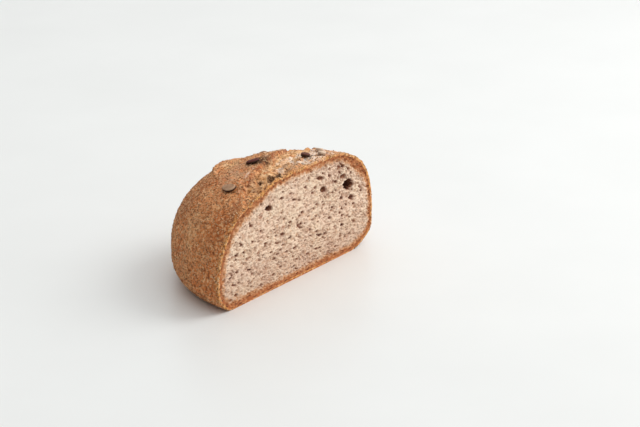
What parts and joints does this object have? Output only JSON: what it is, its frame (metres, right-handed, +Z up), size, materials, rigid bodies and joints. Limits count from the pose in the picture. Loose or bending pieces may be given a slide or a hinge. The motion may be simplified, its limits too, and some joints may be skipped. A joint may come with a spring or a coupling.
{
  "type": "half loaf of buckwheat bread",
  "caption": "Half of a round crusty buckwheat loaf, standing on its base, with the cut crumb, torn scores, floury crust and pumpkin seeds.",
  "frame": {"origin": "middle of the bounding box on the surface that the loaf stands on", "axes": "+Z up, the cut face looks towards -Y and runs along X, and the domed crust is on the +Y side"},
  "size_m": [0.1857, 0.0956, 0.0884],
  "materials": {
    "crust": "matte, sandy, browned crust",
    "crumb": "matte, finely porous crumb",
    "pumpkin_seed": "satin, toasted seed skin"
  },
  "bodies": {
    "root": {"bread_half": "crust"}
  },
  "joints": []
}
